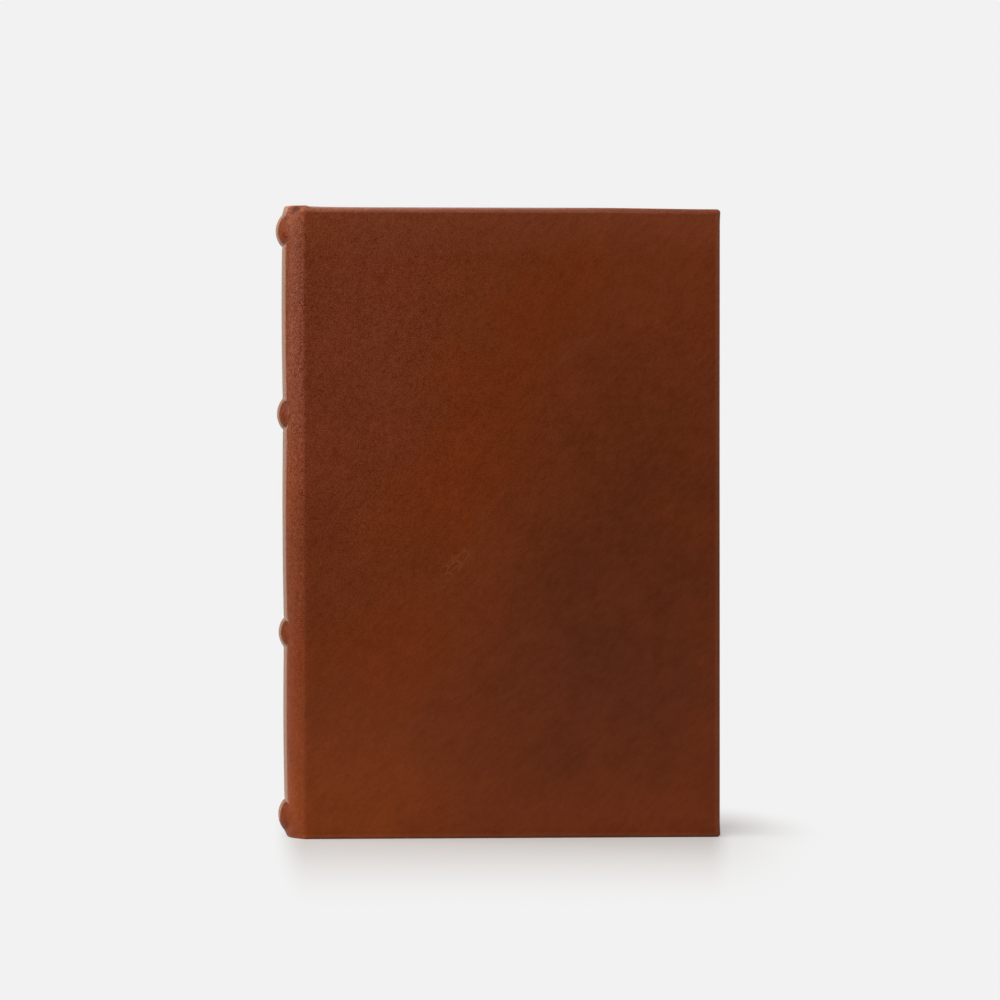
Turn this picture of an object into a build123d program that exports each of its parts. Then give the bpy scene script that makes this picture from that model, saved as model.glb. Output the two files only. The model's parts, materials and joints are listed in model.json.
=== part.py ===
from build123d import *
import os
from math import sqrt

# Leather-bound journal with a rounded, hubbed spine, standing on its tail edge.
# Millimetres. +Z runs from tail to head, the front cover faces -Y and the spine is at -X.
# The origin is under the middle of the book, on the surface that it stands on.

# Covers
cover_height = 216.0        # leather to leather, tail to head
cover_width = 142.6         # joint to fore-edge
book_thickness = 26.0       # front leather to back leather
leather = 0.9               # thickness of the hide
board = 2.4                 # binder's board inside each cover
turn_in_thickness = 0.5     # hide pared thin where it is folded onto the inside of a board
turn_in = 15.0              # how far that fold reaches in from the edge
edge_radius = 1.4           # outer arris of a cover
inner_edge_radius = 0.8     # arris on the page side
corner_radius = 1.3         # fore-edge corners, seen from the front
board_edge_radius = 0.5     # sanded arris of the board
pastedown_thickness = 0.4   # endpaper glued inside a cover
pastedown_margin = 0.1      # endpaper to the edge of the turned-in hide

# Spine
spine_rounding = 7.0        # how far the rounded spine stands out from the joints
joint_step = 0.3            # the spine starts this much below the cover's face
joint_gap = 0.3             # slit at the joint, where the hide bends
joint_flange = 2.0          # hide that runs past the board to the joint
lining = 0.9                # card and cloth between the pages and the hide
lining_setback = 1.5        # edge of the lining to the joint
lining_end_gap = 0.1        # end of the lining to the folded-in hide
headcap_rise = 0.5          # the spine's hide stands this much above the boards
head_fold = 12.0            # hide folded in at head and tail of the spine
headcap_radius = 1.2        # outer arris of that fold
headcap_lip = 1.2           # the fold leans this far over the endband
headcap_thickness = 0.6     # thickness of the leaning lip

# Raised bands
band_rise = 2.05            # height at the middle of the spine
band_width = 10.7           # at the foot, along the spine
band_end_rise = 2.2         # a band dies into the spine this far short of the spine's middle
band_from_end = 7.7         # middle of an end band to the end of a cover
band_pitch = 62.8           # end band to its inner neighbour
band_foot = 1.2             # how far a band is carried down into the spine
core_top_half = 2.4         # half the flat top of the strip under a band

# Pages
square = 3.0                # covers overhang the pages at head, tail and fore-edge
page_gap = 0.2              # cover to the first leaf
shoulder_clearance = 0.4    # shoulder of the pages to the edge of the board
endband_width = 1.9         # endband at head and tail, from the hide towards the pages
endband_height = 2.2        # its height above the pages
endband_bevel = 0.6         # its rounded-over outer edges
endband_gap = 0.05          # endband to the pages and to the hide

# Positions that follow from the sizes above
half = book_thickness / 2
joint_x = (spine_rounding + band_rise - cover_width) / 2
fore_x = joint_x + cover_width
cover_thickness = leather + board + turn_in_thickness
board_x = joint_x + joint_flange
page_half = half - cover_thickness - page_gap
page_low = square
page_high = cover_height - square
spine_top = cover_height + headcap_rise


def radius_through(half_chord, rise):
    """Radius of the arc that stands `rise` above a chord."""
    return (half_chord**2 + rise**2) / (2 * rise)


spine_half = half - joint_step
spine_radius = radius_through(spine_half, spine_rounding)
spine_x = joint_x - spine_rounding + spine_radius
lining_radius = spine_radius - leather
page_radius = lining_radius - lining


def block(x, y, z):
    """A box between two limits on each axis."""
    size = [high - low for low, high in (x, y, z)]
    middle = [(low + high) / 2 for low, high in (x, y, z)]
    return Pos(*middle) * Box(*size)


def left_of(x):
    """Everything on the spine's side of a plane across the book."""
    far = joint_x - 2 * spine_radius - band_rise
    return block((far, x), (-book_thickness, book_thickness), (-cover_height, 2 * cover_height))


def spine_drum(radius, low, high):
    """A drum about the axis of the rounded spine."""
    return Pos(spine_x, 0, (low + high) / 2) * Cylinder(radius, high - low)


# Each band is rounder than the spine, so that it is highest in the middle of the spine and dies
# into it before the joints. Its crest is an arc about an axis of its own.
band_end_x = joint_x - spine_rounding + band_end_rise
band_end_half = sqrt(spine_radius**2 - (spine_x - band_end_x) ** 2)
band_radius = radius_through(band_end_half, band_end_rise + band_rise)
band_x = joint_x - spine_rounding - band_rise + band_radius
hub_radius = radius_through(band_width / 2, band_rise)
lower_bands = [band_from_end, band_from_end + band_pitch]
band_heights = lower_bands + [cover_height - z for z in reversed(lower_bands)]


def band_ring(z, outline):
    """A ring with the given outline, turned about the bands' axis at height z."""
    section = Pos(band_x, 0, 0) * Plane.XZ * Pos(0, z) * make_face(outline)
    return revolve(section, Axis((band_x, 0, 0), (0, 0, 1)), 360)


def hub_reach(skin, depth):
    """Half the width of a band at a depth below its crest, `skin` inside the hide's outside."""
    return sqrt((hub_radius - skin) ** 2 - (hub_radius - depth) ** 2)


def band_hub(z):
    """The rounded ridge of one band, as the outside of the hide shows it."""
    foot = band_radius - band_rise - band_foot
    reach = hub_reach(0, band_rise + band_foot)
    ridge = ThreePointArc((-foot, -reach), (-band_radius, 0), (-foot, reach))
    return band_ring(z, [ridge, Line((-foot, reach), (-foot, -reach))])


def band_core(z):
    """The bevelled strip under the hide that makes one raised band."""
    foot = band_radius - band_rise - band_foot
    reach = hub_reach(leather, band_rise + band_foot)
    top = band_radius - hub_radius + sqrt((hub_radius - leather) ** 2 - core_top_half**2)
    strip = Polyline(
        (-foot, -reach), (-top, -core_top_half), (-top, core_top_half), (-foot, reach), close=True
    )
    core = band_ring(z, strip) - spine_drum(lining_radius, 0, spine_top)
    return core & left_of(band_end_x)


def make_spine_leather():
    """The hide over the spine, moulded over the bands and folded in at head and tail."""
    skin = spine_drum(spine_radius, 0, spine_top)
    skin = fillet(skin.edges().filter_by(GeomType.CIRCLE), headcap_radius)
    for z in band_heights:
        skin += band_hub(z)
    skin -= spine_drum(page_radius - headcap_lip, 0, spine_top)
    skin -= spine_drum(page_radius, headcap_thickness, spine_top - headcap_thickness)
    skin -= spine_drum(lining_radius, head_fold, spine_top - head_fold)
    for z in band_heights:
        skin -= band_core(z)
    return skin & left_of(joint_x - joint_gap / 2)


def make_spine_lining():
    """Card and cloth glued to the back of the pages, between the two folds of the hide."""
    low = head_fold + lining_end_gap
    high = spine_top - low
    wall = spine_drum(lining_radius, low, high) - spine_drum(page_radius, low, high)
    return wall & left_of(joint_x - lining_setback)


def make_text_block():
    """The sewn pages: round back, shoulders for the boards, and a hollow fore-edge."""
    shoulder_x = board_x - shoulder_clearance
    shoulder_half = sqrt(page_radius**2 - (spine_x - shoulder_x) ** 2)
    edge_x = fore_x - square
    hollow_x = edge_x + sqrt(page_radius**2 - page_half**2) - page_radius
    outline = make_face(
        [
            ThreePointArc(
                (shoulder_x, -shoulder_half), (spine_x - page_radius, 0), (shoulder_x, shoulder_half)
            ),
            Polyline((shoulder_x, shoulder_half), (shoulder_x, page_half), (edge_x, page_half)),
            ThreePointArc((edge_x, page_half), (hollow_x, 0), (edge_x, -page_half)),
            Polyline((edge_x, -page_half), (shoulder_x, -page_half), (shoulder_x, -shoulder_half)),
        ]
    )
    return Pos(0, 0, page_low) * extrude(outline, page_high - page_low)


def make_endband():
    """The endband at the head: a strip that lies on the pages just inside the spine."""
    outer = page_radius - endband_gap
    low = page_high + endband_gap
    strip = Pos(-outer + endband_width / 2, low + endband_height / 2)
    strip *= Rectangle(endband_width, endband_height)
    strip = chamfer(strip.vertices().group_by(Axis.Y)[-1], endband_bevel)
    ring = revolve(Pos(spine_x, 0, 0) * Plane.XZ * strip, Axis((spine_x, 0, 0), (0, 0, 1)), 360)
    end_x = spine_x - sqrt((outer - endband_width / 2) ** 2 - page_half**2)
    return ring & left_of(end_x)


def make_board():
    """Binder's board of the front cover."""
    outer_y = leather - half
    core = block(
        (board_x, fore_x - leather), (outer_y, outer_y + board), (leather, cover_height - leather)
    )
    rim = core.faces().sort_by(Axis.Y)[0].edges() + core.faces().sort_by(Axis.Y)[-1].edges()
    return fillet(rim, board_edge_radius)


def make_cover_leather(core):
    """The hide of the front cover, wrapped round three edges of its board."""
    hide_x = joint_x + joint_gap / 2
    inner_y = cover_thickness - half
    hide = block((hide_x, fore_x), (-half, inner_y), (0, cover_height))
    corners = hide.edges().filter_by(Axis.Y).group_by(Axis.X)[-1]
    hide = fillet(corners, corner_radius)
    for side, radius in ((0, edge_radius), (-1, inner_edge_radius)):
        rim = hide.faces().filter_by(Axis.Y).sort_by(Axis.Y)[side].edges()
        hide = fillet(rim.sort_by(Axis.X)[1:], radius)
    hide -= core
    joint_room = block((hide_x, board_x), (leather - half, inner_y), (0, cover_height))
    window = block(
        (board_x, fore_x - turn_in),
        (inner_y - turn_in_thickness, inner_y),
        (turn_in, cover_height - turn_in),
    )
    return hide - joint_room - window


def make_pastedown():
    """The endpaper glued inside the front cover, framed by the turned-in hide."""
    low_y = leather + board - half
    margin = turn_in + pastedown_margin
    return block(
        (board_x + pastedown_margin, fore_x - margin),
        (low_y, low_y + pastedown_thickness),
        (margin, cover_height - margin),
    )


head_band = make_endband()
front_board = make_board()
front = {
    "board": front_board,
    "leather": make_cover_leather(front_board),
    "pastedown": make_pastedown(),
}
nodes = {
    "text_block": make_text_block(),
    "spine_lining": make_spine_lining(),
    "spine_leather": make_spine_leather(),
    "head_band": head_band,
    "tail_band": mirror(head_band, Plane.XY.offset(cover_height / 2)),
}
band_names = ["tail", "lower", "upper", "head"]
for name, z in zip(band_names, band_heights):
    nodes[f"raised_band_{name}"] = band_core(z)
for piece, solid in front.items():
    nodes[f"front_{piece}"] = solid
    nodes[f"back_{piece}"] = mirror(solid, Plane.XZ)

os.makedirs("parts", exist_ok=True)
for name, solid in nodes.items():
    export_step(solid, f"parts/{name}.step")
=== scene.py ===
import json
from math import acos, cos, pi, radians, sin, sqrt, tan

import bmesh
import bpy
import numpy as np
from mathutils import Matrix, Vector, noise


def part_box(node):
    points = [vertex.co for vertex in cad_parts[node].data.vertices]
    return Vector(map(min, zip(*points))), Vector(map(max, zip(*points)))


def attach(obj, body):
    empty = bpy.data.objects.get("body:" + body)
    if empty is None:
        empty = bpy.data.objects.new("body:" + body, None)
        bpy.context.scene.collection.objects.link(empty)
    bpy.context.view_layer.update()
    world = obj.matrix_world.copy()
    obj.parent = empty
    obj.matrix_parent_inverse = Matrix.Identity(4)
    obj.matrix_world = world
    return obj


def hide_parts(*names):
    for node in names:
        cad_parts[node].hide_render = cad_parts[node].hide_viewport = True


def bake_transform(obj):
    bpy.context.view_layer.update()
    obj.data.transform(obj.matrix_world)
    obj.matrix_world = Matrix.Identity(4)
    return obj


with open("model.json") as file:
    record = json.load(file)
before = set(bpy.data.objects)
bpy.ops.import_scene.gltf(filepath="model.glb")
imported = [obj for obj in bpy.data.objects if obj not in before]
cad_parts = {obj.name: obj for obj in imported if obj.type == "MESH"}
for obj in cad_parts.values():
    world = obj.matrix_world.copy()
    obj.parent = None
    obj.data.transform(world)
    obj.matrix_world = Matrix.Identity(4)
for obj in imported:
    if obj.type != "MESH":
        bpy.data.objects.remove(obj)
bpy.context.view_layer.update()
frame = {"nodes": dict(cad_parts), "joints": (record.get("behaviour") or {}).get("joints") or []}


# The pages: cream writing paper, folded into sections, sewn through the folds and glued up.
# The back is hammered round, and because all leaves are one width the same round comes again
# as a hollow in the fore-edge.
joint_x, joint_y, _ = frame["joints"][0]["pos_m"]   # crease of the front cover
pages_low, pages_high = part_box("text_block")
half = -joint_y                                     # middle of the pages to the face of a cover
cover_inside = -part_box("front_leather")[1].y
page_gap = 0.0002                                   # cover to the first leaf
page_half = cover_inside - page_gap                 # half the thickness of the closed pages

spine_step = 0.0003                                 # the spine starts this far below a cover's face
rounding = 0.0070                                   # the round spine stands this far from the joints
spine_half = half - spine_step
spine_radius = (spine_half**2 + rounding**2) / (2 * rounding)
spine_x = joint_x - rounding + spine_radius         # axis of the round
back_radius = spine_x - pages_low.x                 # round of the pages' back


def add(tree, kind, inputs=None, **settings):
    """One node of a tree. inputs maps a socket to a value, or to the socket that feeds it."""
    made = tree.nodes.new(kind)
    for key, value in settings.items():
        setattr(made, key, value)
    for key, value in (inputs or {}).items():
        if isinstance(value, bpy.types.NodeSocket):
            tree.links.new(value, made.inputs[key])
        else:
            made.inputs[key].default_value = value
    return made


def math(tree, operation, *values):
    """The result of one sum on numbers or sockets."""
    return add(tree, "ShaderNodeMath", dict(enumerate(values)), operation=operation).outputs[0]


def times(tree, first, *others):
    """All the values multiplied."""
    for value in others:
        first = math(tree, "MULTIPLY", first, value)
    return first


def plus(tree, first, *others):
    """All the values added."""
    for value in others:
        first = math(tree, "ADD", first, value)
    return first


def minus(tree, first, second):
    """The second value taken from the first."""
    return math(tree, "SUBTRACT", first, second)


def shape_tree(name, sizes):
    """An empty Geometry Nodes tree with named sizes, and the node that gives them."""
    tree = bpy.data.node_groups.new(name, "GeometryNodeTree")
    for size, value in sizes.items():
        kind = "NodeSocketInt" if isinstance(value, int) else "NodeSocketFloat"
        tree.interface.new_socket(size, in_out="INPUT", socket_type=kind)
    tree.interface.new_socket("Geometry", in_out="OUTPUT", socket_type="NodeSocketGeometry")
    return tree, tree.nodes.new("NodeGroupInput").outputs


def grow(tree, geometry, name, sizes):
    """Runs the tree with these sizes and keeps the result as a plain mesh object."""
    tree.links.new(geometry, tree.nodes.new("NodeGroupOutput").inputs[0])
    piece = bpy.data.objects.new(name, bpy.data.meshes.new(name))
    bpy.context.collection.objects.link(piece)
    modifier = piece.modifiers.new("shape", "NODES")
    modifier.node_group = tree
    for item in tree.interface.items_tree:
        if item.in_out == "INPUT":
            modifier[item.identifier] = sizes[item.name]
    solved = piece.evaluated_get(bpy.context.evaluated_depsgraph_get())
    mesh = bpy.data.meshes.new_from_object(solved)
    piece.modifiers.remove(modifier)
    piece.data = mesh
    return piece


def new_material(name, roughness):
    """A material with its tree, its shader and the object's own coordinates in millimetres."""
    material = bpy.data.materials.new(name)
    material.use_nodes = True
    tree = material.node_tree
    shader = tree.nodes["Principled BSDF"]
    shader.inputs["Roughness"].default_value = roughness
    place = add(tree, "ShaderNodeTexCoord").outputs["Object"]
    scaled = add(tree, "ShaderNodeMapping", {"Vector": place, "Scale": (1000, 1000, 1000)})
    return material, tree, shader, scaled.outputs[0]


def stretched(tree, place, scale):
    """The same place with one scale for each axis, for streaks and fibres."""
    return add(tree, "ShaderNodeMapping", {"Vector": place, "Scale": scale}).outputs[0]


def cloud(tree, place, scale, detail=3.0, roughness=0.5):
    """Noise from 0 to 1, at this many features to the millimetre."""
    sockets = {"Vector": place, "Scale": scale, "Detail": detail, "Roughness": roughness}
    return add(tree, "ShaderNodeTexNoise", sockets).outputs[0]


def spread(tree, value, low, high, to_low=0.0, to_high=1.0):
    """A value stretched from one range to another with soft ends."""
    sockets = {"Value": value, "From Min": low, "From Max": high, "To Min": to_low, "To Max": to_high}
    return add(tree, "ShaderNodeMapRange", sockets, interpolation_type="SMOOTHSTEP").outputs[0]


def mix(tree, share, first, second):
    """Two colours mixed by a share from 0 to 1."""
    node = add(tree, "ShaderNodeMix", data_type="RGBA")
    for key, value in ((0, share), (6, first), (7, second)):
        if isinstance(value, bpy.types.NodeSocket):
            tree.links.new(value, node.inputs[key])
        else:
            node.inputs[key].default_value = value
    return node.outputs[2]


def emboss(tree, shader, height, distance, socket="Normal"):
    """Height from 0 to 1 becomes relief of the given distance in metres."""
    bump = add(tree, "ShaderNodeBump", {"Height": height, "Distance": distance})
    tree.links.new(bump.outputs[0], shader.inputs[socket])


def make_paper(name, light, dark):
    """Uncoated paper: a soft mottle, and fine streaks along the cut edges of the leaves."""
    material, tree, shader, place = new_material(name, 0.85)
    mottle = cloud(tree, place, 0.06)
    edges = cloud(tree, stretched(tree, place, (0.002, 4.0, 0.002)), 1.0, 2.0)
    share = plus(tree, times(tree, mottle, 0.08), times(tree, edges, 0.92))
    colour = mix(tree, spread(tree, share, 0.2, 0.8), (*dark, 1), (*light, 1))
    tree.links.new(colour, shader.inputs["Base Color"])
    emboss(tree, shader, cloud(tree, place, 2.5, 4.0), 0.00002)
    return material


paper = make_paper("cream_paper", (0.76, 0.69, 0.55), (0.66, 0.58, 0.43))

leaf_sizes = {
    "Leaves": 144,
    "Leaves In Section": 12,
    "Page Half": page_half,
    "Leaf Height": pages_high.z - pages_low.z,
    "Leaf Fullness": 0.97,                          # share of the pitch that is paper
    "Back Radius": back_radius,
    "Back Axis": spine_x,
    "Fore Edge": pages_high.x,
    "Flare": 0.12,                                  # outer leaves lean out into the shoulders
    "Flare Reach": 0.0016,
    "Uneven": 0.00012,                              # how far single leaves stray at the edges
}


def leaf_tree(sizes):
    """A stack of thin leaves along Y, bent to the round of the back and the hollow fore-edge."""
    tree, size = shape_tree("leaves", sizes)
    pitch = math(tree, "DIVIDE", times(tree, size["Page Half"], 2.0), size["Leaves"])
    first = minus(tree, times(tree, pitch, 0.5), size["Page Half"])
    start = add(tree, "ShaderNodeCombineXYZ", {"Y": first}).outputs[0]
    step = add(tree, "ShaderNodeCombineXYZ", {"Y": pitch}).outputs[0]
    sockets = {"Count": size["Leaves"], "Start Location": start, "Offset": step}
    line = add(tree, "GeometryNodeMeshLine", sockets)

    # a unit leaf, from 0 at the back to 1 at the fore-edge, with its divisions gathered at the back
    thickness = times(tree, pitch, size["Leaf Fullness"])
    sockets = {"X": 1.0, "Y": thickness, "Z": size["Leaf Height"]}
    block = add(tree, "ShaderNodeCombineXYZ", sockets).outputs[0]
    cube = add(tree, "GeometryNodeMeshCube", {"Size": block, "Vertices X": 13})
    place = add(tree, "GeometryNodeInputPosition").outputs[0]
    axes = add(tree, "ShaderNodeSeparateXYZ", {0: place}).outputs
    along = math(tree, "POWER", plus(tree, axes[0], 0.5), 3.0)
    gathered = add(tree, "ShaderNodeCombineXYZ", {"X": along, "Y": axes[1], "Z": axes[2]}).outputs[0]
    leaf = add(tree, "GeometryNodeSetPosition", {"Geometry": cube.outputs[0], "Position": gathered})

    # single leaves and whole sections stray a little at head, tail and fore-edge
    index = add(tree, "GeometryNodeInputIndex").outputs[0]
    section = math(tree, "FLOOR", math(tree, "DIVIDE", index, size["Leaves In Section"]))
    strays = []
    for seed, source in ((3, index), (5, section), (7, index), (11, section)):
        pick = add(tree, "FunctionNodeRandomValue", {"ID": source, "Seed": seed}, data_type="FLOAT")
        pick.inputs[2].default_value = -1.0
        strays.append(times(tree, pick.outputs[1], size["Uneven"]))
    across_page = 7.0                               # they stray more across the page than up it
    stray_x = times(tree, plus(tree, strays[0], strays[1]), across_page)
    stray_z = plus(tree, strays[2], strays[3])
    stray = add(tree, "ShaderNodeCombineXYZ", {"X": stray_x, "Z": stray_z}).outputs[0]
    strayed = add(tree, "GeometryNodeSetPosition", {"Geometry": line.outputs[0], "Offset": stray})
    sockets = {"Points": strayed.outputs[0], "Instance": leaf.outputs[0]}
    stack = add(tree, "GeometryNodeInstanceOnPoints", sockets)
    solid = add(tree, "GeometryNodeRealizeInstances", {"Geometry": stack.outputs[0]})

    # round of the back, hollow of the fore-edge
    place = add(tree, "GeometryNodeInputPosition").outputs[0]
    x, y, z = add(tree, "ShaderNodeSeparateXYZ", {0: place}).outputs

    def round_at(across):
        """How far the round stands from its axis, at a distance from the middle of the pages."""
        square = times(tree, size["Back Radius"], size["Back Radius"])
        return math(tree, "SQRT", minus(tree, square, times(tree, across, across)))

    flared = times(tree, y, plus(tree, size["Flare"], 1.0))
    back = minus(tree, size["Back Axis"], round_at(flared))
    hollow = minus(tree, round_at(size["Page Half"]), round_at(y))
    width = minus(tree, plus(tree, size["Fore Edge"], hollow), back)
    reach = times(tree, width, x)
    x_new = plus(tree, back, reach)
    lean = spread(tree, reach, 0.0, size["Flare Reach"], 1.0, 0.0)
    y_new = times(tree, y, plus(tree, times(tree, lean, size["Flare"]), 1.0))
    bent = add(tree, "ShaderNodeCombineXYZ", {"X": x_new, "Y": y_new, "Z": z}).outputs[0]
    shaped = add(tree, "GeometryNodeSetPosition", {"Geometry": solid.outputs[0], "Position": bent})
    lift = add(tree, "ShaderNodeCombineXYZ", {"Z": (pages_low.z + pages_high.z) / 2}).outputs[0]
    lifted = add(tree, "GeometryNodeTransform", {"Geometry": shaped.outputs[0], "Translation": lift})
    sockets = {"Geometry": lifted.outputs[0], "Material": paper}
    return tree, add(tree, "GeometryNodeSetMaterial", sockets)


tree, leaves = leaf_tree(leaf_sizes)
pages = grow(tree, leaves.outputs[0], "sewn_pages", leaf_sizes)
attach(pages, "book_block")
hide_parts("text_block")


# The endbands: a cord at head and tail of the pages, wound with waxed thread in two colours.
# They lie on the edges of the leaves, just inside the caps of the spine.
thread_radius = 0.00021
endband_low, endband_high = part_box("head_band")
endband_width = 0.0019
endband_gap = 0.00005                               # endband to the hide
band_sizes = {
    "Ring Radius": back_radius - endband_gap - endband_width / 2,
    "Ring Sweep": 2 * acos(1 - (endband_high.x - endband_low.x) / back_radius),
    "Wraps": 54,
    "Wrap Radius": (endband_high.z - endband_low.z) / 2 - thread_radius,
    "Thread Radius": thread_radius,
}


def make_thread(name, light, dark):
    """Waxed linen thread with a faint twist."""
    material, tree, shader, place = new_material(name, 0.6)
    share = cloud(tree, place, 3.0, 2.0)
    tree.links.new(mix(tree, share, (*dark, 1), (*light, 1)), shader.inputs["Base Color"])
    emboss(tree, shader, cloud(tree, place, 6.0, 2.0), 0.00003)
    return material


plain_thread = make_thread("undyed_thread", (0.70, 0.60, 0.42), (0.52, 0.42, 0.27))
dyed_thread = make_thread("brown_thread", (0.20, 0.07, 0.03), (0.11, 0.035, 0.016))


def endband_tree(sizes, height):
    """Rings of thread side by side round an arc of cord, two light and two dark by turns."""
    tree, size = shape_tree("endband", sizes)
    start = minus(tree, pi, times(tree, size["Ring Sweep"], 0.5))
    sockets = {"Resolution": 40, "Radius": size["Ring Radius"], "Start Angle": start}
    arc = add(tree, "GeometryNodeCurveArc", {**sockets, "Sweep Angle": size["Ring Sweep"]}).outputs[0]

    def round_section(radius, points):
        """The outline of a round cord or thread."""
        circle = add(tree, "GeometryNodeCurvePrimitiveCircle", {"Resolution": points, "Radius": radius})
        return circle.outputs[0]

    def tube(path, section):
        """A cord or thread of that outline along a path."""
        sockets = {"Curve": path, "Profile Curve": section, "Fill Caps": True}
        return add(tree, "GeometryNodeCurveToMesh", sockets).outputs[0]

    cord = tube(arc, round_section(size["Wrap Radius"], 10))
    ring = tube(round_section(size["Wrap Radius"], 14), round_section(size["Thread Radius"], 5))
    spots = add(tree, "GeometryNodeCurveToPoints", {"Curve": arc, "Count": size["Wraps"]}, mode="COUNT")
    sockets = {"Points": spots.outputs[0], "Instance": ring, "Rotation": spots.outputs["Rotation"]}
    rings = add(tree, "GeometryNodeInstanceOnPoints", sockets)
    index = add(tree, "GeometryNodeInputIndex").outputs[0]
    dyed = math(tree, "GREATER_THAN", math(tree, "MODULO", index, 4.0), 1.5)
    sockets = {"Geometry": rings.outputs[0], "Name": "dyed", "Value": dyed}
    marked = add(tree, "GeometryNodeStoreNamedAttribute", sockets, data_type="FLOAT", domain="INSTANCE")
    both = add(tree, "GeometryNodeJoinGeometry", {0: cord})
    tree.links.new(marked.outputs[0], both.inputs[0])
    seat = (spine_x, 0.0, height)
    seated = add(tree, "GeometryNodeTransform", {"Geometry": both.outputs[0], "Translation": seat})
    real = add(tree, "GeometryNodeRealizeInstances", {"Geometry": seated.outputs[0]})
    sockets = {"Geometry": real.outputs[0], "Material": plain_thread}
    light = add(tree, "GeometryNodeSetMaterial", sockets)
    mark = add(tree, "GeometryNodeInputNamedAttribute", {"Name": "dyed"}, data_type="FLOAT")
    chosen = math(tree, "GREATER_THAN", mark.outputs[0], 0.5)
    sockets = {"Geometry": light.outputs[0], "Selection": chosen, "Material": dyed_thread}
    return tree, add(tree, "GeometryNodeSetMaterial", sockets)


for node_name in ("head_band", "tail_band"):
    low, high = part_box(node_name)
    tree, wound = endband_tree(band_sizes, (low.z + high.z) / 2)
    endband = grow(tree, wound.outputs[0], f"wound_{node_name}", band_sizes)
    for face in endband.data.polygons:
        face.use_smooth = True
    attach(endband, "book_block")
    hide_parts(node_name)


# The stiffening under the hide: grey-brown boards in the covers, card and cloth on the pages'
# back, and four bevelled strips of offcut hide glued across the back to make the raised bands.
def make_card(name, light, dark, grain):
    """Pressed board: flecked pulp with a faint tooth."""
    material, tree, shader, place = new_material(name, 0.9)
    flecks = cloud(tree, place, grain, 5.0, 0.65)
    colour = mix(tree, spread(tree, flecks, 0.3, 0.7), (*dark, 1), (*light, 1))
    tree.links.new(colour, shader.inputs["Base Color"])
    emboss(tree, shader, flecks, 0.00005)
    return material


board_card = make_card("grey_board", (0.34, 0.29, 0.22), (0.22, 0.18, 0.13), 1.2)
lining_card = make_card("lining_card", (0.60, 0.50, 0.36), (0.45, 0.36, 0.24), 1.6)
strip_hide = make_card("offcut_hide", (0.36, 0.22, 0.12), (0.22, 0.12, 0.06), 2.0)
stiffening = {
    board_card: ["front_board", "back_board"],
    lining_card: ["spine_lining"],
    strip_hide: ["raised_band_head", "raised_band_upper", "raised_band_lower", "raised_band_tail"],
}
for material, names in stiffening.items():
    for node_name in names:
        frame["nodes"][node_name].data.materials.clear()
        frame["nodes"][node_name].data.materials.append(material)


# The hide: one skin of brown waxed calf over spine and covers, with a fine grain.
# It is pulled over the strips while damp, nipped in beside each, and folded over at head and tail.
def patch(tree, place, middle, radii, turn=0.0):
    """A soft spot on the front cover: 1 at its middle, 0 at its rim, leaning by turn degrees."""
    sockets = {
        "Vector": place,
        "Location": (middle[0], -half * 1000, middle[1]),
        "Rotation": (0, radians(turn), 0),
        "Scale": (radii[0], half * 1000, radii[1]),
    }
    local = add(tree, "ShaderNodeMapping", sockets, vector_type="TEXTURE").outputs[0]
    fall = add(tree, "ShaderNodeTexGradient", {"Vector": local}, gradient_type="SPHERICAL").outputs[1]
    return spread(tree, fall, 0.0, 0.75)


front_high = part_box("front_leather")[1]
band_names = ("raised_band_tail", "raised_band_lower", "raised_band_upper", "raised_band_head")
band_heights = [sum(corner.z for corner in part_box(name)) / 2 for name in band_names]


def vector(tree, operation, first, second):
    """The result of one sum on colours or places. SCALE takes a number as the second value."""
    key = "Scale" if operation == "SCALE" else 1
    return add(tree, "ShaderNodeVectorMath", {0: first, key: second}, operation=operation).outputs[0]


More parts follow.
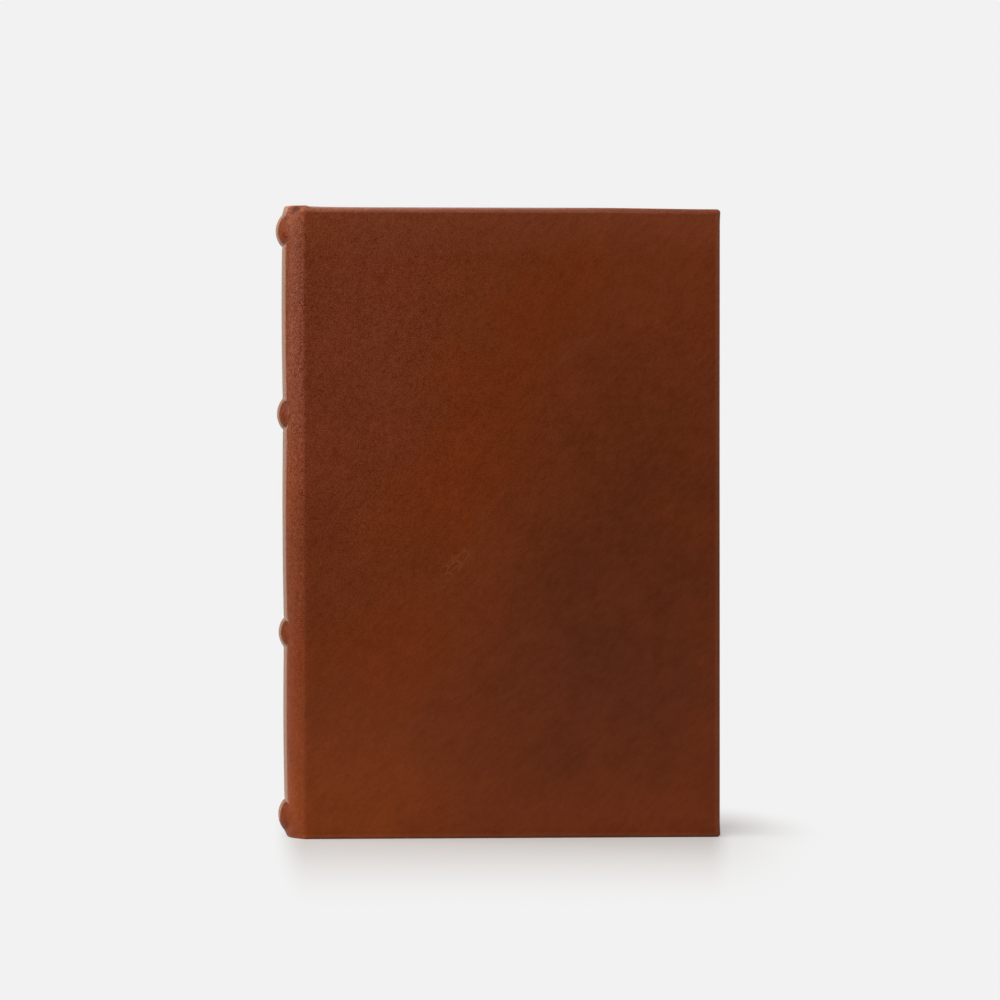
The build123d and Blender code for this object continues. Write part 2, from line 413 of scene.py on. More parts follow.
def make_hide():
    """Waxed hide: cloudy pull-up colour, fine pebbled grain and a soft sheen. Millimetres."""
    material, tree, shader, place = new_material("waxed_hide", 0.55)
    shader.inputs["Specular IOR Level"].default_value = 0.06
    shader.inputs["Coat Weight"].default_value = 0.5
    shader.inputs["Coat Roughness"].default_value = 0.10
    shader.inputs["Coat IOR"].default_value = 1.2

    # the spine's outside lies at x = -73.8, and the crease of a joint at x = -66.8
    x, _, z = add(tree, "ShaderNodeSeparateXYZ", {0: place}).outputs
    top, fore = front_high.z * 1000, front_high.x * 1000

    # the dye lies unevenly, in patches whose edges wander
    wander_reach = 32.0
    sockets = {"Vector": place, "Scale": 0.035, "Detail": 3.0}
    wander = add(tree, "ShaderNodeTexNoise", sockets).outputs[1]
    shift = vector(tree, "SCALE", vector(tree, "SUBTRACT", wander, (0.5, 0.5, 0.5)), wander_reach)
    wandered = vector(tree, "ADD", place, shift)
    russet, dusky = (0.122, 0.0215, 0.0035), (0.127, 0.0240, 0.0066)
    orange, amber, dark = (0.127, 0.0205, 0.0010), (0.155, 0.0285, 0.0030), (0.092, 0.0175, 0.0030)
    colour = (*russet, 1)
    for tint, strength, middle, radii, turn in (
        (dusky, 0.9, (-50, 166), (40, 74), 14),
        (orange, 0.9, (-4, 140), (27, 92), 26),
        (orange, 1.0, (-42, 62), (52, 32), 0),
        (orange, 0.6, (16, 186), (24, 32), 35),
        (dark, 1.0, (44, 94), (64, 106), 12),
        (amber, 0.9, (-52, 14), (62, 50), 0),
    ):
        share = times(tree, patch(tree, wandered, middle, radii, turn), strength)
        colour = mix(tree, share, colour, (*tint, 1))

    # the grain is painted strongest on the spine and at the upper left of the front, where the left
    # lamp grazes it and its sheen lies; its pale grains are painted glints
    cells = add(tree, "ShaderNodeTexVoronoi", {"Vector": place, "Scale": 1.15}, feature="F1").outputs[0]
    pebble = spread(tree, cells, 0.0, 0.75, 1.0, 0.0)
    fine = cloud(tree, place, 2.3, 2.0, 0.6)
    coarse = cloud(tree, place, 0.8, 3.0, 0.65)
    relief = plus(tree, times(tree, pebble, 0.4), times(tree, fine, 0.6))
    across = spread(tree, x, -70.0, 50.0, 1.3, 0.4)
    upward = spread(tree, z, 20.0, 170.0, 0.25, 1.0)
    round_spine = spread(tree, x, -74.0, -71.0, 0.3, 1.0)
    on_spine = times(tree, spread(tree, x, -67.5, -66.0, 0.9, 0.0), round_spine)
    grain_and_glint_strength = times(tree, across, upward, plus(tree, on_spine, 1.0))
    grains = plus(tree, fine, times(tree, coarse, 0.45))
    speckle_and_glint = times(tree, minus(tree, grains, 0.725), grain_and_glint_strength)

    # fine creases run up to the right
    sockets = {"Vector": place, "Rotation": (0, radians(46), 0), "Scale": (1.7, 1.7, 4.2)}
    drawn = add(tree, "ShaderNodeMapping", sockets, vector_type="TEXTURE").outputs[0]
    creases = minus(tree, cloud(tree, drawn, 1.0, 4.0, 0.75), 0.5)

    # the joints are painted lighter for the light from the left, and their dye shows some fading; the
    # edges show rubbing and painted edge highlights, most of all at the head
    faded_and_side_lit = times(
        tree,
        spread(tree, x, -71.8, -67.0, 1.0, 0.45),
        spread(tree, x, -66.9, -66.0, 1.0, 0.0),
        spread(tree, x, -73.4, -71.8, 0.3, 1.0),
        spread(tree, z, top - 9.0, top - 3.0, 1.0, 1.6),
    )
    # painted highlight along the head's rounded edge, strongest at the left, where the overhead strip
    # catches it
    at_head = times(
        tree,
        spread(tree, z, top - 2.4, top - 0.6),
        spread(tree, x, -60.0, 60.0, 2.0, 1.0),
        spread(tree, x, -69.5, -66.5, 0.35, 1.0),
    )
    near_head = spread(tree, z, top - 20.0, top - 2.0, 0.0, 0.10)
    near_tail = spread(tree, z, 36.0, 2.0, 0.0, 0.13)
    # the tail and fore edges are painted lighter too, for light from the floor and from the right, with
    # some rubbing
    rubbed_and_edge_lit = math(tree, "MAXIMUM", at_head, spread(tree, z, 2.2, 0.6))
    rubbed_and_edge_lit = math(tree, "MAXIMUM", rubbed_and_edge_lit, spread(tree, x, fore - 2.2, fore - 0.6))
    lighter = plus(tree, times(tree, faded_and_side_lit, 0.44), times(tree, rubbed_and_edge_lit, 0.35), near_tail, near_head)

    # wax gathers along the foot of each band, and its crest is polished
    crest_rise, ridge_round = 2.05, 16.0            # height of a band, and the width of its full round
    nearest = top
    for height in band_heights:
        from_band = math(tree, "ABSOLUTE", minus(tree, z, height * 1000))
        nearest = math(tree, "MINIMUM", nearest, from_band)
    sockets = {"Value": x, "From Min": -71.6, "From Max": -73.8, "To Max": crest_rise}
    rise = add(tree, "ShaderNodeMapRange", sockets).outputs[0]
    reach = math(tree, "SQRT", times(tree, rise, minus(tree, ridge_round, rise)))
    outside = minus(tree, nearest, reach)
    foot_line = spread(tree, math(tree, "ABSOLUTE", outside), 1.5, 0.1)
    foot = times(tree, foot_line, spread(tree, rise, 0.0, 1.2), 0.2)
    crest = spread(tree, outside, -1.0, -4.0, 0.0, 0.12)

    # all of it works on the colour, over slow clouds, with dark wax and painted shade in the pinch at
    # the head
    clouds = spread(tree, cloud(tree, place, 0.05, 5.0, 0.6), 0.3, 0.7, 0.93, 1.07)
    pinch_wax_and_shade = patch(tree, place, (-69.7, top - 0.6), (1.7, 4.0), 52)
    worn = times(
        tree,
        clouds,
        plus(tree, times(tree, speckle_and_glint, 0.85), 1.0),
        plus(tree, times(tree, creases, 0.42), 1.0),
        plus(tree, lighter, 1.0),
        plus(tree, minus(tree, crest, foot), 1.0),
        minus(tree, 1.0, times(tree, pinch_wax_and_shade, 0.5)),
    )
    shade = vector(tree, "SCALE", colour, worn)

    # a pale haze of dusty wax lies in the grain, at the edges and on the joints, with painted sheen
    # where the lamps' reflections fall
    bloom_and_sheen, least_shade = (0.038, 0.040, 0.033), (0.01, 0.004, 0.001)
    joint_dust_and_sheen = times(tree, faded_and_side_lit, spread(tree, x, -73.5, -71.5), upward, 0.3)
    crease_dust_and_sheen = times(tree, creases, 0.25)
    dust_and_sheen = plus(tree, speckle_and_glint, times(tree, rubbed_and_edge_lit, 0.3), joint_dust_and_sheen, near_head, crease_dust_and_sheen)
    with_dust_and_sheen = vector(tree, "ADD", shade, vector(tree, "SCALE", bloom_and_sheen, dust_and_sheen))
    with_dust_and_sheen = vector(tree, "MAXIMUM", with_dust_and_sheen, least_shade)

    # a short healed wrinkle and a faint streak on the front, and stray light specks all over
    sockets = {"Vector": drawn, "Scale": 1.0}
    veins = add(tree, "ShaderNodeTexVoronoi", sockets, feature="DISTANCE_TO_EDGE").outputs[0]
    lines = spread(tree, veins, 0.12, 0.01)
    wrinkle = times(tree, patch(tree, place, (-15.0, 94.5), (4.2, 9.5), 46), lines, 0.17)
    streak = times(tree, patch(tree, place, (26.5, 167.5), (2.2, 17.0), 52), 0.03)
    marks = add(tree, "ShaderNodeTexVoronoi", {"Vector": place, "Scale": 0.045}, feature="F1").outputs
    pick = add(tree, "ShaderNodeSeparateXYZ", {0: marks[1]}).outputs[0]
    chosen = math(tree, "GREATER_THAN", pick, 0.55)
    specks = times(tree, spread(tree, marks[0], 0.010, 0.020, 0.55, 0.0), chosen)
    marked = math(tree, "MAXIMUM", wrinkle, math(tree, "MAXIMUM", streak, specks))
    bare_hide = (0.30, 0.13, 0.055, 1)
    tree.links.new(mix(tree, marked, with_dust_and_sheen, bare_hide), shader.inputs["Base Color"])
    emboss(tree, shader, relief, 0.00008)
    emboss(tree, shader, relief, 0.00002, "Coat Normal")
    return material


hide = make_hide()
cover_height = front_high.z
spine_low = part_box("spine_leather")[0]
end_angle = acos((spine_x - joint_x) / spine_radius)    # from the spine's middle to a joint
band_rise = joint_x - rounding - spine_low.x        # height of a band at the middle of the spine
band_width = 0.0107
band_fade = 0.0022                                  # a band ends where the spine falls away this far
band_drop = 0.00015                                 # the hide settles this far below a strip's middle
band_pulls = (0.00024, -0.00018, 0.00009, 0.00024)  # they were not all pulled equally high
hide_thickness = 0.00088
seam_setback = 0.0008                               # the spine's own skin ends this far from the crease
seam_angle = acos((spine_x - joint_x + seam_setback) / spine_radius)


def soft_step(value, low, high):
    """0 below low, 1 above high, smooth between."""
    share = np.clip((value - low) / (high - low), 0.0, 1.0)
    return share * share * (3 - 2 * share)


def wobble(points, size, seed):
    """Smooth noise from -1 to 1 with features of the given size, for hand-made unevenness."""
    flat = points.reshape(-1, 3) / size + seed
    return np.array([noise.noise(Vector(p)) for p in flat]).reshape(points.shape[:-1])


def spine_surface(angle, z):
    """Distance of the hide's outside from the spine's axis, by angle from the middle and height."""
    middle = np.cos(angle / end_angle * pi / 2)

    # between the bands the hide bows out a little, and the spine leans in towards the tail
    bow, head_out, tail_in = 0.00038, 0.00015, 0.00075
    lean = (head_out - tail_in * (1 - z / cover_height)) * middle
    panel = np.full(np.broadcast(angle, z).shape, spine_radius) + lean
    for low, high in zip(band_heights[:-1], band_heights[1:]):
        share = np.clip((z - low) / (high - low), 0, 1)
        panel = panel + bow * 4 * share * (1 - share) * middle

    # each band is rounder than the spine, highest at its middle, and nipped in on its inner side
    fade_half = sqrt(spine_radius**2 - (spine_radius - band_fade) ** 2)
    fade_rise = band_fade + band_rise
    band_radius = (fade_half**2 + fade_rise**2) / (2 * fade_rise)
    offset = spine_radius + band_rise - band_radius
    crest = offset * np.cos(angle) + np.sqrt(band_radius**2 - (offset * np.sin(angle)) ** 2)
    crest = crest + lean
    ridge_radius = ((band_width / 2) ** 2 + band_rise**2) / (2 * band_rise)
    nip_depth, nip_width, blend_width = 0.00022, 0.00040, 0.00045
    surface = panel
    for middle_z, pull in zip(np.array(band_heights) - band_drop, band_pulls):
        away = np.clip(np.abs(z - middle_z), 0, ridge_radius * 0.98)
        ridge = crest + pull * middle**2 - ridge_radius + np.sqrt(ridge_radius**2 - away**2)
        over = np.clip(0.5 + 0.5 * (ridge - panel) / blend_width, 0, 1)
        joined = panel + (ridge - panel) * over + blend_width * over * (1 - over)
        inner = soft_step(np.sign(cover_height / 2 - middle_z) * (z - middle_z), 0.0, 0.003)
        nip = nip_depth * inner * middle**2 * np.exp(-(((ridge - panel) / nip_width) ** 2))
        near = np.abs(z - middle_z) < band_width
        surface = np.where(near, np.maximum(joined, panel) - nip, surface)

    # the caps at head and tail are drawn in, with a pinch beside each joint
    drawn_head, drawn_tail = 0.00060, 0.00090
    surface = surface - drawn_head * soft_step(z, cover_height - 0.0022, cover_height + 0.0004)
    surface = surface - drawn_tail * soft_step(-z, -0.0020, 0.0004)
    pinch, pinch_width, pinch_height, pinch_from_joint = 0.0012, 0.0015, 0.0012, 0.0037
    from_joint = (end_angle - np.abs(angle)) * spine_radius - pinch_from_joint
    for pinch_z, depth in ((cover_height - 0.0011, pinch), (0.0010, pinch / 3)):
        spot = (from_joint / pinch_width) ** 2 + ((z - pinch_z) / pinch_height) ** 2
        surface = surface - depth * np.exp(-spot)
    return surface


def cap_height(angle):
    """Top of the spine's cap, which rises a little towards the middle of the spine."""
    above_cover, crown = 0.00055, 0.00020
    return cover_height + above_cover + crown * (1 - (angle / end_angle) ** 2)


def cap_turn(radius, lip, fold):
    """The fold over one end of a wall of hide: (depth below its outside, distance from its end)."""
    lip_radius = 0.0003
    cap = [(radius * (1 - cos(a)), radius * (1 - sin(a))) for a in np.linspace(0, pi / 2, 8)]
    over = [
        (lip - lip_radius + lip_radius * sin(a), lip_radius * (1 - cos(a)))
        for a in np.linspace(0, pi, 7)
    ]
    under = [(fold, down) for down in (2 * lip_radius + 0.00006, 0.0030, 0.0070, 0.0114)]
    return cap + over + under


def tube_faces(columns, ring):
    """Quads round a tube of rings, and a face on each end."""
    faces = []
    for c in range(columns - 1):
        for r in range(ring):
            after = (r + 1) % ring
            faces.append((c * ring + r, c * ring + after, (c + 1) * ring + after, (c + 1) * ring + r))
    faces.append(tuple(range(ring))[::-1])
    faces.append(tuple(range((columns - 1) * ring, columns * ring)))
    return faces


def make_piece(name, points, faces, material):
    """A closed mesh with its doubles merged, its ends filled and its faces turned outwards."""
    mesh = bpy.data.meshes.new(name)
    mesh.from_pydata([tuple(p) for p in points], [], faces)
    shell = bmesh.new()
    shell.from_mesh(mesh)
    bmesh.ops.remove_doubles(shell, verts=shell.verts, dist=1e-7)
    bmesh.ops.dissolve_degenerate(shell, edges=shell.edges, dist=1e-7)
    for face in shell.faces:
        face.smooth = True
    wide = [face for face in shell.faces if len(face.verts) > 4]
    bmesh.ops.triangulate(shell, faces=wide, ngon_method="EAR_CLIP")
    bmesh.ops.recalc_face_normals(shell, faces=shell.faces)
    shell.to_mesh(mesh)
    shell.free()
    mesh.set_sharp_from_angle(angle=radians(60))
    mesh.materials.append(material)
    piece = bpy.data.objects.new(name, mesh)
    bpy.context.collection.objects.link(piece)
    return piece


def wall_ring(top, head_radius, tail_radius, lip, fold):
    """Depth and height round one upright ring of the wall, from foot to top and back."""
    fold_end = 0.0122                               # the folded-in hide ends this far from an end
    outer_points, inner_points = 470, 60
    heights = np.linspace(tail_radius, top - head_radius, outer_points)
    outer = [(0.0, z) for z in heights[1:-1]]
    head = [(depth, top - down) for depth, down in cap_turn(head_radius, lip, fold)]
    inner = [(hide_thickness, z) for z in np.linspace(top - fold_end, fold_end, inner_points)]
    tail = cap_turn(tail_radius, lip, fold)[::-1]
    return np.array(outer + head + inner + tail).T


head_radius, tail_radius = 0.0008, 0.0003           # the head's cap is softer than the tail's
spine_lip, spine_fold = 0.0029, 0.00172             # how far in the lip and the fold behind it reach


def spine_skin():
    """Rings of the spine's hide, side by side from the front joint to the back one."""
    points = []
    for angle in np.linspace(-seam_angle, seam_angle, 66):
        depth, z = wall_ring(cap_height(angle), head_radius, tail_radius, spine_lip, spine_fold)
        reach = spine_surface(angle, z) - depth
        points.append(np.stack([spine_x - reach * cos(angle), reach * sin(angle), z], axis=1))
    return np.array(points)


spine_points = spine_skin()
columns, ring_size, _ = spine_points.shape
spine_hide = make_piece("spine_hide", spine_points.reshape(-1, 3), tube_faces(columns, ring_size), hide)
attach(spine_hide, "book_block")
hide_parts("spine_leather")


# The hide of a cover: the same skin, drawn over the board and turned in over three edges.
# The corners are mitred on the inside, and the endpaper is let in between the turn-ins.
cover_start = joint_x + 0.0019                      # a cover's own skin starts just before its board
fore_x = front_high.x
edge_radius, inner_radius, corner_radius = 0.0019, 0.0008, 0.0013
turn_in, pare = 0.0150, 0.00046                     # width of the turn-in, and its thickness
pare_width, pare_step = 0.0004, 0.00015             # its edge is pared down in two steps
face_inset, roll_inset = 0.0040, 0.0024             # the face's flat, and the rim before it rolls over
mitre_groove = 0.00012
corner_swell, corner_size = 0.00022, 0.0030         # folded hide stands a little proud at the corners
head_ease, ease_length = 0.00028, 0.0060            # the hide eases down from the spine's cap
head_droop, droop_start = 0.00040, 0.0300           # the board's head falls off to the fore-edge
fore_spread, tail_spread = 0.00016, 0.00016         # the board is wider there, and more so at its tail
spread_height = 0.1600
face_drift, drift_size = 0.00008, 0.045             # the face strays from flat, in slow waves


def cover_profile():
    """From the face over the edge to the inside: (inset from the outline, depth from the face)."""
    thickness = half - cover_inside
    outer = [
        (edge_radius * (1 - sin(a)), edge_radius * (1 - cos(a)))
        for a in np.linspace(0, pi / 2, 9)
    ]
    side = [(0.0, edge_radius + 0.5 * (thickness - edge_radius - inner_radius))]
    inner = [
        (inner_radius * (1 - cos(a)), thickness - inner_radius * (1 - sin(a)))
        for a in np.linspace(0, pi / 2, 6)
    ]
    flat = [(w, thickness) for w in np.linspace(inner_radius, turn_in - pare_width, 9)[1:]]
    pared = [(turn_in - pare_width / 4, thickness - pare_step), (turn_in, thickness - pare)]
    return [(face_inset, 0.0), (roll_inset, 0.0)] + outer + side + inner + flat + pared


def cover_skin(name, side, seed):
    """A closed shell round one cover. side is -1 at the front and 1 at the back."""
    x_lines = np.linspace(cover_start, fore_x - face_inset, 76)
    z_lines = np.linspace(face_inset, cover_height - face_inset, 116)
    turns = np.linspace(-pi / 2, 0, 9)
    outline = [("tail", x) for x in x_lines] + [("tail_corner", a) for a in turns]
    outline += [("fore", z) for z in z_lines] + [("head_corner", a + pi / 2) for a in turns]
    outline += [("head", x) for x in x_lines[::-1]]

    def at(spot, inset):
        """A point of the outline moved inwards, meeting its neighbours on the mitre."""
        edge, value = spot
        if edge == "tail":
            return min(value, fore_x - inset), inset
        if edge == "head":
            return min(value, fore_x - inset), cover_height - inset
        if edge == "fore":
            return fore_x - inset, min(max(value, inset), cover_height - inset)
        middle_z = corner_radius if edge == "tail_corner" else cover_height - corner_radius
        if inset < corner_radius:
            reach = corner_radius - inset
            return fore_x - corner_radius + reach * cos(value), middle_z + reach * sin(value)
        return fore_x - inset, inset if edge == "tail_corner" else cover_height - inset

    points, faces = [], []
    profile = cover_profile()
    for inset, depth in profile:
        for spot in outline:
            x, z = at(spot, inset)
            on_mitre = spot[0].endswith("corner") and corner_radius < inset < turn_in
            sunk = mitre_groove if on_mitre and depth > edge_radius else 0
            points.append((x, -half + depth - sunk, z))
    length = len(outline)
    for p in range(len(profile) - 1):
        for s in range(length - 1):
            here = p * length + s
            faces.append((here, here + 1, here + length + 1, here + length))

    # the flat of the face, on the same lines as the edge
    first = len(points)
    for z in z_lines:
        points.extend((x, -half, z) for x in x_lines)
    for j in range(len(z_lines) - 1):
        for i in range(len(x_lines) - 1):
            here = first + j * len(x_lines) + i
            faces.append((here, here + 1, here + len(x_lines) + 1, here + len(x_lines)))

    # the wall on the board's joint edge, and the floor under the endpaper
    tail_end = [p * length for p in range(len(profile))]
    head_end = [p * length + length - 1 for p in range(len(profile))]
    joint_edge = [first + j * len(x_lines) for j in range(len(z_lines))]
    faces.append(tuple(tail_end[::-1] + joint_edge[1:-1] + head_end))
    last = (len(profile) - 1) * length
    faces.append(tuple(last + s for s in range(length)))

    # hand-made unevenness: head and fore-edge off square, a slow drift of the face, full corners
    points = np.array(points)
    ease = head_ease * np.exp(-(points[:, 0] - cover_start) / ease_length)
    ease -= head_droop * soft_step(points[:, 0], droop_start, fore_x)
    points[:, 2] += ease * soft_step(points[:, 2], cover_height / 2, cover_height)
    wider = fore_spread + tail_spread * soft_step(-points[:, 2], -spread_height, 0)
    points[:, 0] += wider * soft_step(points[:, 0], 0, fore_x)
    away = soft_step(points[:, 0], cover_start + 0.0005, cover_start + 0.0120)
    on_face = points[:, 1] < -half + 0.0002
    drift = wobble(points * (1, 0, 1), drift_size, seed) * face_drift
    points[:, 1] += np.where(on_face, drift * away, 0)
    for corner_z in (0.0, cover_height):
        gap = np.hypot(points[:, 0] - fore_x, points[:, 2] - corner_z)
        swell = corner_swell * np.exp(-((gap / corner_size) ** 2))
        points[:, 0] += swell
        points[:, 1] -= np.where(on_face, 0.4 * swell, 0)
    points[:, 1] *= -side
    return make_piece(name, points, faces, hide)


for body, node_name, side, seed in (
    ("front_cover", "front_leather", -1, 4.7),
    ("back_cover", "back_leather", 1, 21.3),
):
    cover_hide = cover_skin(f"{body}_hide", side, seed)
    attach(cover_hide, body)
    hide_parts(node_name)


# The joints: the narrow strip of hide that bends when a cover opens, between spine and board.
# It carries on the spine's surface on one side and the cover's face on the other.
joint_lip, joint_fold = 0.0021, 0.0012              # less hide is folded in here than on the spine


def joint_skin(name, side):
    """A wall of hide across one joint, in upright rings from the spine to the cover."""
    seam_out, seam_across = cos(seam_angle), sin(seam_angle)
    to_face = half - spine_radius * seam_across
    bend_x = spine_x - spine_radius * seam_out + to_face * tan(seam_angle)
    bend = np.array((bend_x, side * half))
    last = np.array((cover_start, side * half))
    points = []
    for share in np.linspace(0, 1, 13):
        top = cap_height(seam_angle) * (1 - share) + (cover_height + head_ease) * share
        at_head = head_radius * (1 - share) + edge_radius * share
        at_tail = tail_radius * (1 - share) + edge_radius * share
        depth, z = wall_ring(top, at_head, at_tail, joint_lip, joint_fold)
        reach = spine_surface(seam_angle, z)
        first = np.stack([spine_x - reach * seam_out, side * reach * seam_across], axis=1)
        path = first * (1 - share) ** 2 + 2 * bend * share * (1 - share) + last * share**2
        run = 2 * (bend - first) * (1 - share) + 2 * (last - bend) * share
        normal = np.stack([-run[:, 1], run[:, 0]], axis=1) * side
        normal /= np.linalg.norm(normal, axis=1, keepdims=True)
        inside = path - normal * depth[:, None]
        points.append(np.column_stack([inside, z]))
    points = np.array(points)
    columns, ring_size, _ = points.shape
    return make_piece(name, points.reshape(-1, 3), tube_faces(columns, ring_size), hide)


def bend_joint(piece, body, book_x, cover_x):
    """Lists the book and the cover with their places, but only bakes the piece's placement into its
    mesh.
    """
    ends = [("book_block", (book_x, 0, 0)), (body, (cover_x, 0, 0))]
    if body == "front_cover":
        ends.reverse()                              # the front lists its ends the other way round
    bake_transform(piece)


for body, side in (("front_cover", -1), ("back_cover", 1)):
    joint_hide = joint_skin(f"{body}_joint_hide", side)
    bend_joint(joint_hide, body, joint_x - seam_setback, cover_start)


# The endpapers inside the covers: heavier cream paper, pasted on the board between the turn-ins.
# A strip of the same paper is folded into each joint, and opens out when the cover turns back.
endpaper = make_paper("cream_endpaper", (0.74, 0.66, 0.50), (0.65, 0.56, 0.41))
for node_name in ("front_pastedown", "back_pastedown"):
    frame["nodes"][node_name].data.materials.clear()
    frame["nodes"][node_name].data.materials.append(endpaper)

paste_low, paste_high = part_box("front_pastedown")
guard_thickness = 0.00008
guard_leaf, guard_board = joint_x + 0.00020, joint_x + 0.00187      # it bends between leaf and board

# the fold, in millimetres from the joint and in from the cover's face
guard_path = [
    (0.20, 3.15), (0.35, 3.02), (0.50, 2.92), (0.65, 2.84), (0.80, 2.78), (0.95, 2.74), (1.10, 2.72),
    (1.25, 2.74), (1.40, 2.80), (1.55, 2.90), (1.70, 3.06), (1.80, 3.28), (1.86, 3.56), (1.95, 3.74),
    (2.20, 3.76), (2.80, 3.76),
]


def guard_strip(name, side):
    """A thin folded sheet in one joint, from the first leaf round to the endpaper."""
    path = np.array(guard_path) / 1000
    run = np.gradient(path, axis=0)
    normal = np.stack([-run[:, 1], run[:, 0]], axis=1)
    normal /= np.linalg.norm(normal, axis=1, keepdims=True)
    points = []
    for away in (-0.5, 0.5):
        for x, inward in path + normal * away * guard_thickness:
            for z in (paste_low.z, paste_high.z):
                points.append((joint_x + x, side * (half - inward), z))
    count = len(path)
    faces = []
    for layer in (0, 2 * count):
        for i in range(count - 1):
            here = layer + 2 * i
            faces.append((here, here + 1, here + 3, here + 2))
    for i in range(count - 1):
        for top in (0, 1):
            here = 2 * i + top
            faces.append((here, here + 2, here + 2 + 2 * count, here + 2 * count))
    for here in (0, 2 * count - 2):
        faces.append((here, here + 1, here + 1 + 2 * count, here + 2 * count))
    return make_piece(name, points, faces, endpaper)


for body, side in (("front_cover", -1), ("back_cover", 1)):
    guard = guard_strip(f"{body}_joint_paper", side)
    bend_joint(guard, body, guard_leaf, guard_board)


# The stage: a pale floor that keeps the shadow near the book and fades into a pale ground,
# and soft studio light: a tall softbox at the left, a fill from the front and a strip overhead.
# A pale wall behind the book shows only in the hide's sheen, as the light rim along the spine.
ground = 0.887
floor_colour_and_warm_bounce = (0.690, 0.646, 0.608)                # what the camera sees of it, warmed as painted reddish light thrown by the hide into its shadow
floor_bounce = (0.80, 0.80, 0.80)                   # what it throws back on the book
floor_reach = 6.0
floor_mesh = bpy.data.meshes.new("floor")
corners = [(-1, -1), (1, -1), (1, 1), (-1, 1)]
floor_mesh.from_pydata([(x * floor_reach, y * floor_reach, 0) for x, y in corners], [], [(0, 1, 2, 3)])
floor = bpy.data.objects.new("floor", floor_mesh)
bpy.context.collection.objects.link(floor)
floor_material = bpy.data.materials.new("pale_floor")
floor_material.use_nodes = True
tree = floor_material.node_tree
tree.nodes.remove(tree.nodes["Principled BSDF"])
rays = add(tree, "ShaderNodeLightPath").outputs
tone = mix(tree, rays["Is Diffuse Ray"], (*floor_colour_and_warm_bounce, 1), (*floor_bounce, 1))
paint = add(tree, "ShaderNodeBsdfDiffuse", {"Color": tone})
glow = add(tree, "ShaderNodeEmission", {"Color": (ground, ground, ground, 1)})
place = add(tree, "ShaderNodeTexCoord").outputs["Object"]
x, y, _ = add(tree, "ShaderNodeSeparateXYZ", {0: place}).outputs


def past(tree, value, low, high, low_reach, high_reach):
    """How far a place lies outside a range, as a share of the reach on that side."""
    under = math(tree, "DIVIDE", minus(tree, low, value), low_reach)
    over = math(tree, "DIVIDE", minus(tree, value, high), high_reach)
    return math(tree, "MAXIMUM", math(tree, "MAXIMUM", under, over), 0.0)


def squares(tree, *values):
    """The sum of the squares."""
    total = 0.0
    for value in values:
        total = plus(tree, times(tree, value, value), total)
    return total


# the shadow lies round the book's foot, and further out the floor is as bright as the ground
edge_slant = 0.106                                  # the shadow narrows as it comes forward
right_reach = spread(tree, y, -half - 0.050, -half + 0.010, 0.045, 0.055)
left_reach = spread(tree, y, 0.06, 0.22, 0.016, 0.040)
in_front = math(tree, "MINIMUM", plus(tree, y, half), 0.0)
right_edge = plus(tree, times(tree, in_front, edge_slant), fore_x)
past_x = past(tree, x, joint_x + 0.0008, right_edge, left_reach, right_reach)
past_y = past(tree, y, -half, half, 0.30, 0.15)
away = math(tree, "SQRT", squares(tree, past_x, past_y))
far = spread(tree, away, 0.0, 0.75, 0.22, 1.0)
over_edge = spread(tree, minus(tree, x, right_edge), -0.004, 0.005)
beside = times(tree, over_edge, spread(tree, y, 0.03, -0.03, 0.0, 0.62))
far = plus(tree, far, times(tree, minus(tree, 1.0, far), beside))
bright = times(tree, far, rays["Is Camera Ray"])
seen = add(tree, "ShaderNodeMixShader", {0: bright, 1: paint.outputs[0], 2: glow.outputs[0]})


def window(tree, ahead):
    """Brightness of the pale wall behind the book, by the cosine of the angle from straight behind."""
    wall_end, wall_start, brightest, dimmest = 0.64, 0.67, 6.0, 0.5
    limits = {"From Min": wall_end, "From Max": 1.0, "To Min": brightest, "To Max": dimmest}
    level = add(tree, "ShaderNodeMapRange", {"Value": ahead, **limits}).outputs[0]
    return times(tree, level, spread(tree, ahead, wall_end, wall_start))


# behind the spine the floor mirrors as that wall does
warm = (1.0, 0.86, 0.68, 1)
up_spine = 0.02                                     # the spine sees it from this height
from_spine = minus(tree, x, joint_x - rounding)
ahead = math(tree, "DIVIDE", y, math(tree, "SQRT", squares(tree, from_spine, y, up_spine)))
lit = add(tree, "ShaderNodeEmission", {"Color": warm, "Strength": window(tree, ahead)})
to_left = spread(tree, from_spine, 0.0, -0.03)
behind = times(tree, spread(tree, ahead, 0.70, 0.73), to_left, spread(tree, y, 0.0, 0.02))
mirrors = times(tree, behind, rays["Is Glossy Ray"])
mirrored = add(tree, "ShaderNodeMixShader", {0: mirrors, 1: seen.outputs[0], 2: lit.outputs[0]})
tree.links.new(mirrored.outputs[0], tree.nodes["Material Output"].inputs[0])
floor_mesh.materials.append(floor_material)

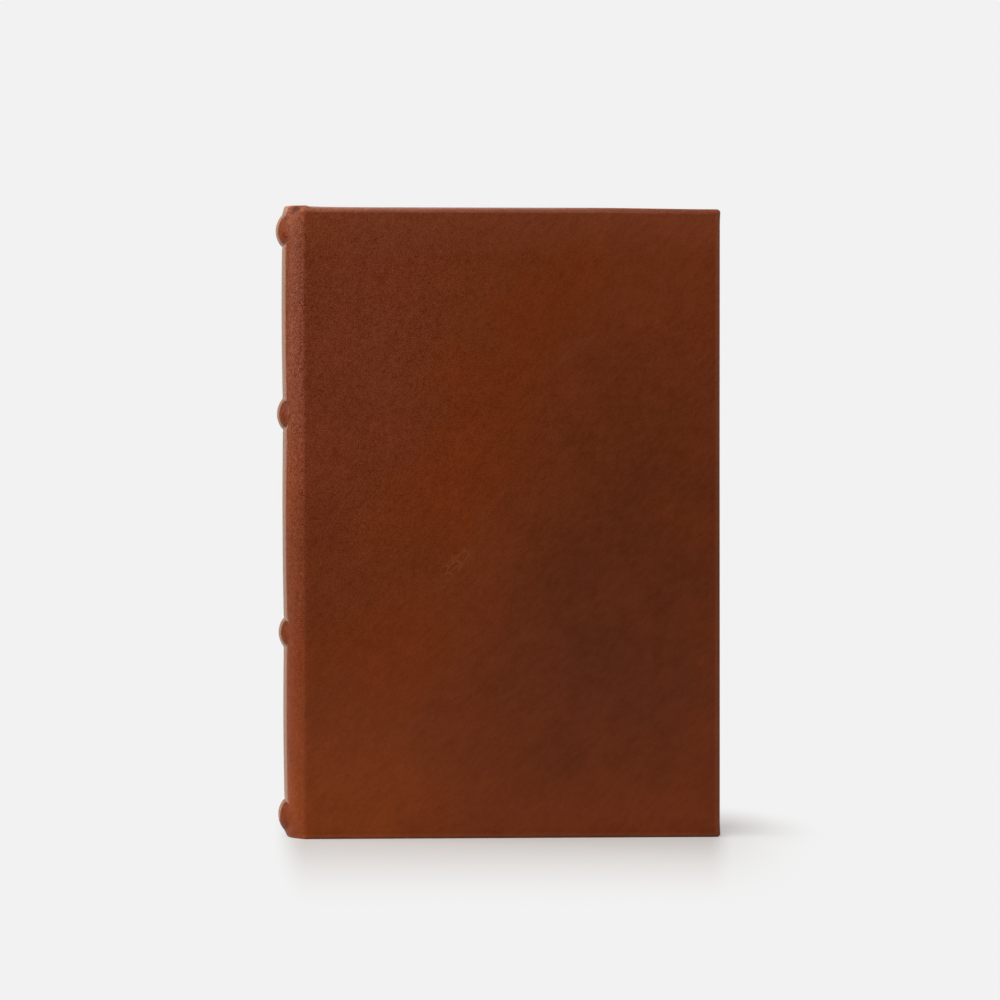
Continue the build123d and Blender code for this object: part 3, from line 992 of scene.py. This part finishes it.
world = bpy.data.worlds.new("studio")
bpy.context.scene.world = world
world.use_nodes = True
tree = world.node_tree
direction = add(tree, "ShaderNodeTexCoord").outputs["Generated"]
x, y, _ = add(tree, "ShaderNodeSeparateXYZ", {0: direction}).outputs
ambient, room, right_wall = 0.08, 0.08, 1.5
at_left = spread(tree, x, -0.02, -0.12)
at_right = spread(tree, x, 0.35, 0.6, room, right_wall)
mirrored = plus(tree, times(tree, window(tree, y), at_left), at_right)
rays = add(tree, "ShaderNodeLightPath").outputs
shiny = math(tree, "MAXIMUM", rays["Is Glossy Ray"], rays["Is Transmission Ray"])
dull = minus(tree, 1.0, shiny)
level = plus(tree, times(tree, dull, ambient), times(tree, shiny, mirrored))
strength = math(tree, "MAXIMUM", level, times(tree, rays["Is Camera Ray"], ground))
tree.links.new(strength, tree.nodes["Background"].inputs["Strength"])
tree.links.new(mix(tree, shiny, (1, 1, 1, 1), warm), tree.nodes["Background"].inputs["Color"])

middle = Vector((0, 0, cover_height / 2))


def softbox(name, place, width, height, watts):
    """A large lamp that faces the middle of the book."""
    lamp = bpy.data.lights.new(name, "AREA")
    lamp.shape = "RECTANGLE"
    lamp.size, lamp.size_y = width, height
    lamp.energy = watts
    box = bpy.data.objects.new(name, lamp)
    box.location = place
    box.rotation_euler = (middle - Vector(place)).to_track_quat("-Z", "Y").to_euler()
    bpy.context.collection.objects.link(box)


softbox("left_softbox", (-1.25, -0.27, 0.92), 1.85, 1.8, 20.0)
softbox("front_fill", (-0.25, -1.25, 0.90), 1.0, 0.7, 10.2)
softbox("overhead_strip", (0.0, 0.20, 1.30), 0.24, 2.0, 9.5)

camera_data = bpy.data.cameras.new("camera")
camera_data.sensor_width = 36.0
camera_data.lens = 156.52
camera = bpy.data.objects.new("camera", camera_data)
camera_azimuth, camera_distance, camera_height = radians(-3.126), 1.5, 0.1425
camera_yaw, camera_pitch = radians(3.166), radians(-1.022)
camera_x, camera_y = camera_distance * sin(camera_azimuth), -camera_distance * cos(camera_azimuth)
camera.location = (camera_x, camera_y, camera_height)
camera.rotation_euler = (pi / 2 + camera_pitch, 0, -camera_yaw)
bpy.context.collection.objects.link(camera)
bpy.context.scene.camera = camera
bpy.context.scene.view_settings.view_transform = "Standard"
